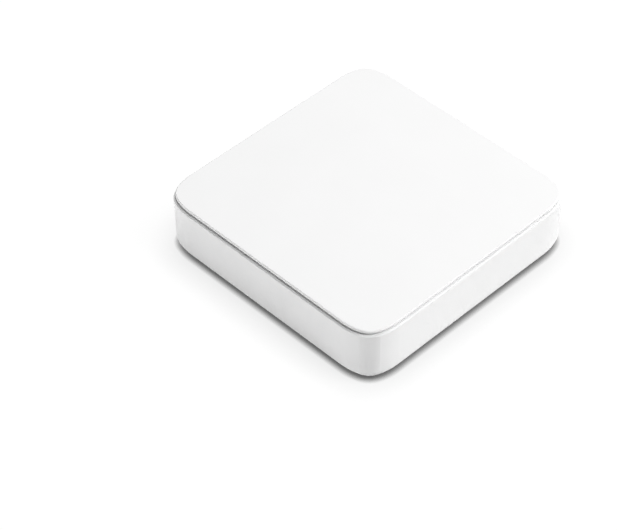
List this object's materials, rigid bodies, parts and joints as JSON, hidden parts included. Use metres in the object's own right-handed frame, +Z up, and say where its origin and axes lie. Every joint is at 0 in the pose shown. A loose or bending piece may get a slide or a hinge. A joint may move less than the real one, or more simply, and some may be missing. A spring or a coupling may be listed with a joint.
{
  "type": "streaming box",
  "caption": "Square white set-top streaming box with softly rounded corners, a top plate over a thin shadow gap, rear and side sockets and rubber feet.",
  "frame": {"origin": "centre of the footprint on the table, at the underside of the rubber feet", "axes": "+Z up, -Y out of the plain front wall, +Y out of the wall with the long row of sockets, +X out of the wall with the USB sockets"},
  "size_m": [0.117, 0.117, 0.0268],
  "materials": {
    "white_shell": "satin, fine moulded grain",
    "grey_rubber": "matte",
    "plated_screw": "zinc plated",
    "circuit_board": "green solder mask",
    "chip_black": "matte moulded epoxy",
    "heatsink_metal": "extruded, clear anodised",
    "pad_grey": "matte gap filler",
    "ferrite": "matt ferrite",
    "can_aluminium": "bright drawn can",
    "tinned_steel": "tin plated sheet",
    "gold_contact": "gold plated",
    "nickel_pin": "nickel plated",
    "socket_black": "satin",
    "clear_pipe": "clear, polished",
    "lens_dark": "infrared filter"
  },
  "bodies": {
    "root": {"lower_housing": "white_shell", "top_plate": "white_shell", "rubber_feet": "grey_rubber", "housing_screws": "plated_screw", "main_board": "circuit_board", "board_screws": "plated_screw", "processor": "chip_black", "thermal_pad": "pad_grey", "heatsink": "heatsink_metal", "heatsink_screws": "plated_screw", "memory_chips": "chip_black", "storage_chip": "chip_black", "power_chip": "chip_black", "power_inductors": "ferrite", "electrolytic_capacitors": "can_aluminium", "crystal_oscillators": "tinned_steel", "ethernet_transformer": "chip_black", "wireless_module": "circuit_board", "wireless_shield": "tinned_steel", "side_antenna": "tinned_steel", "front_antenna": "tinned_steel", "status_led": "clear_pipe", "light_pipe": "clear_pipe", "infrared_receiver": "lens_dark", "power_inlet": "socket_black", "power_inlet_pin": "nickel_pin", "audio_jack": "socket_black", "optical_socket": "socket_black", "optical_emitter": "lens_dark", "optical_flap_pin": "plated_screw", "hdmi_shell": "tinned_steel", "hdmi_tongue": "socket_black", "hdmi_contacts": "gold_contact", "ethernet_socket": "socket_black", "ethernet_shield": "tinned_steel", "ethernet_contacts": "gold_contact", "usb_a_shell": "tinned_steel", "usb_a_tongue": "socket_black", "usb_a_contacts": "gold_contact", "usb_c_shell": "tinned_steel", "usb_c_tongue": "socket_black", "usb_c_contacts": "gold_contact", "reset_switch": "socket_black"},
    "flap": {"optical_flap": "socket_black"},
    "button": {"reset_button": "socket_black"}
  },
  "joints": [
    {"name": "flap_hinge", "type": "hinge", "parent": "root", "child": "flap", "pos_m": [0.0084, 0.0565, 0.01595], "axis": [-1, 0, 0], "range_deg": [0, 88], "stiffness_Nm_per_rad": 0.0001},
    {"name": "button_press", "type": "slide", "parent": "root", "child": "button", "axis": [-1, 0, 0], "range_m": [0, 0.0003], "stiffness_N_per_m": 200}
  ]
}
